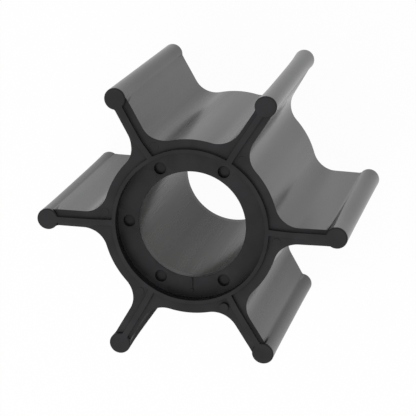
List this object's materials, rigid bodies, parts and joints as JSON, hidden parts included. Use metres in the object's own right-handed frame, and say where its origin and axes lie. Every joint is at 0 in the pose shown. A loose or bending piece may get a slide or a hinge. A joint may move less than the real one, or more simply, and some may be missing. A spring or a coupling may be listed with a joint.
{
  "type": "rubber pump impeller",
  "caption": "Flexible pump impeller: a rubber body with straight, beaded vanes, moulded round a rigid bush with a plain bore.",
  "frame": {"origin": "on the shaft's axis, at the lower end face", "axes": "+Z along the shaft, towards the end that the picture shows; +X through the middle of the first vane"},
  "size_m": [0.052, 0.0456, 0.038],
  "materials": {
    "body": "moulded black rubber, smooth and slightly glossy on the vanes' sides",
    "bush": "smooth dark grey moulded plastic"
  },
  "bodies": {
    "root": {"rubber_body": "body", "hub_bush": "bush"}
  },
  "joints": []
}
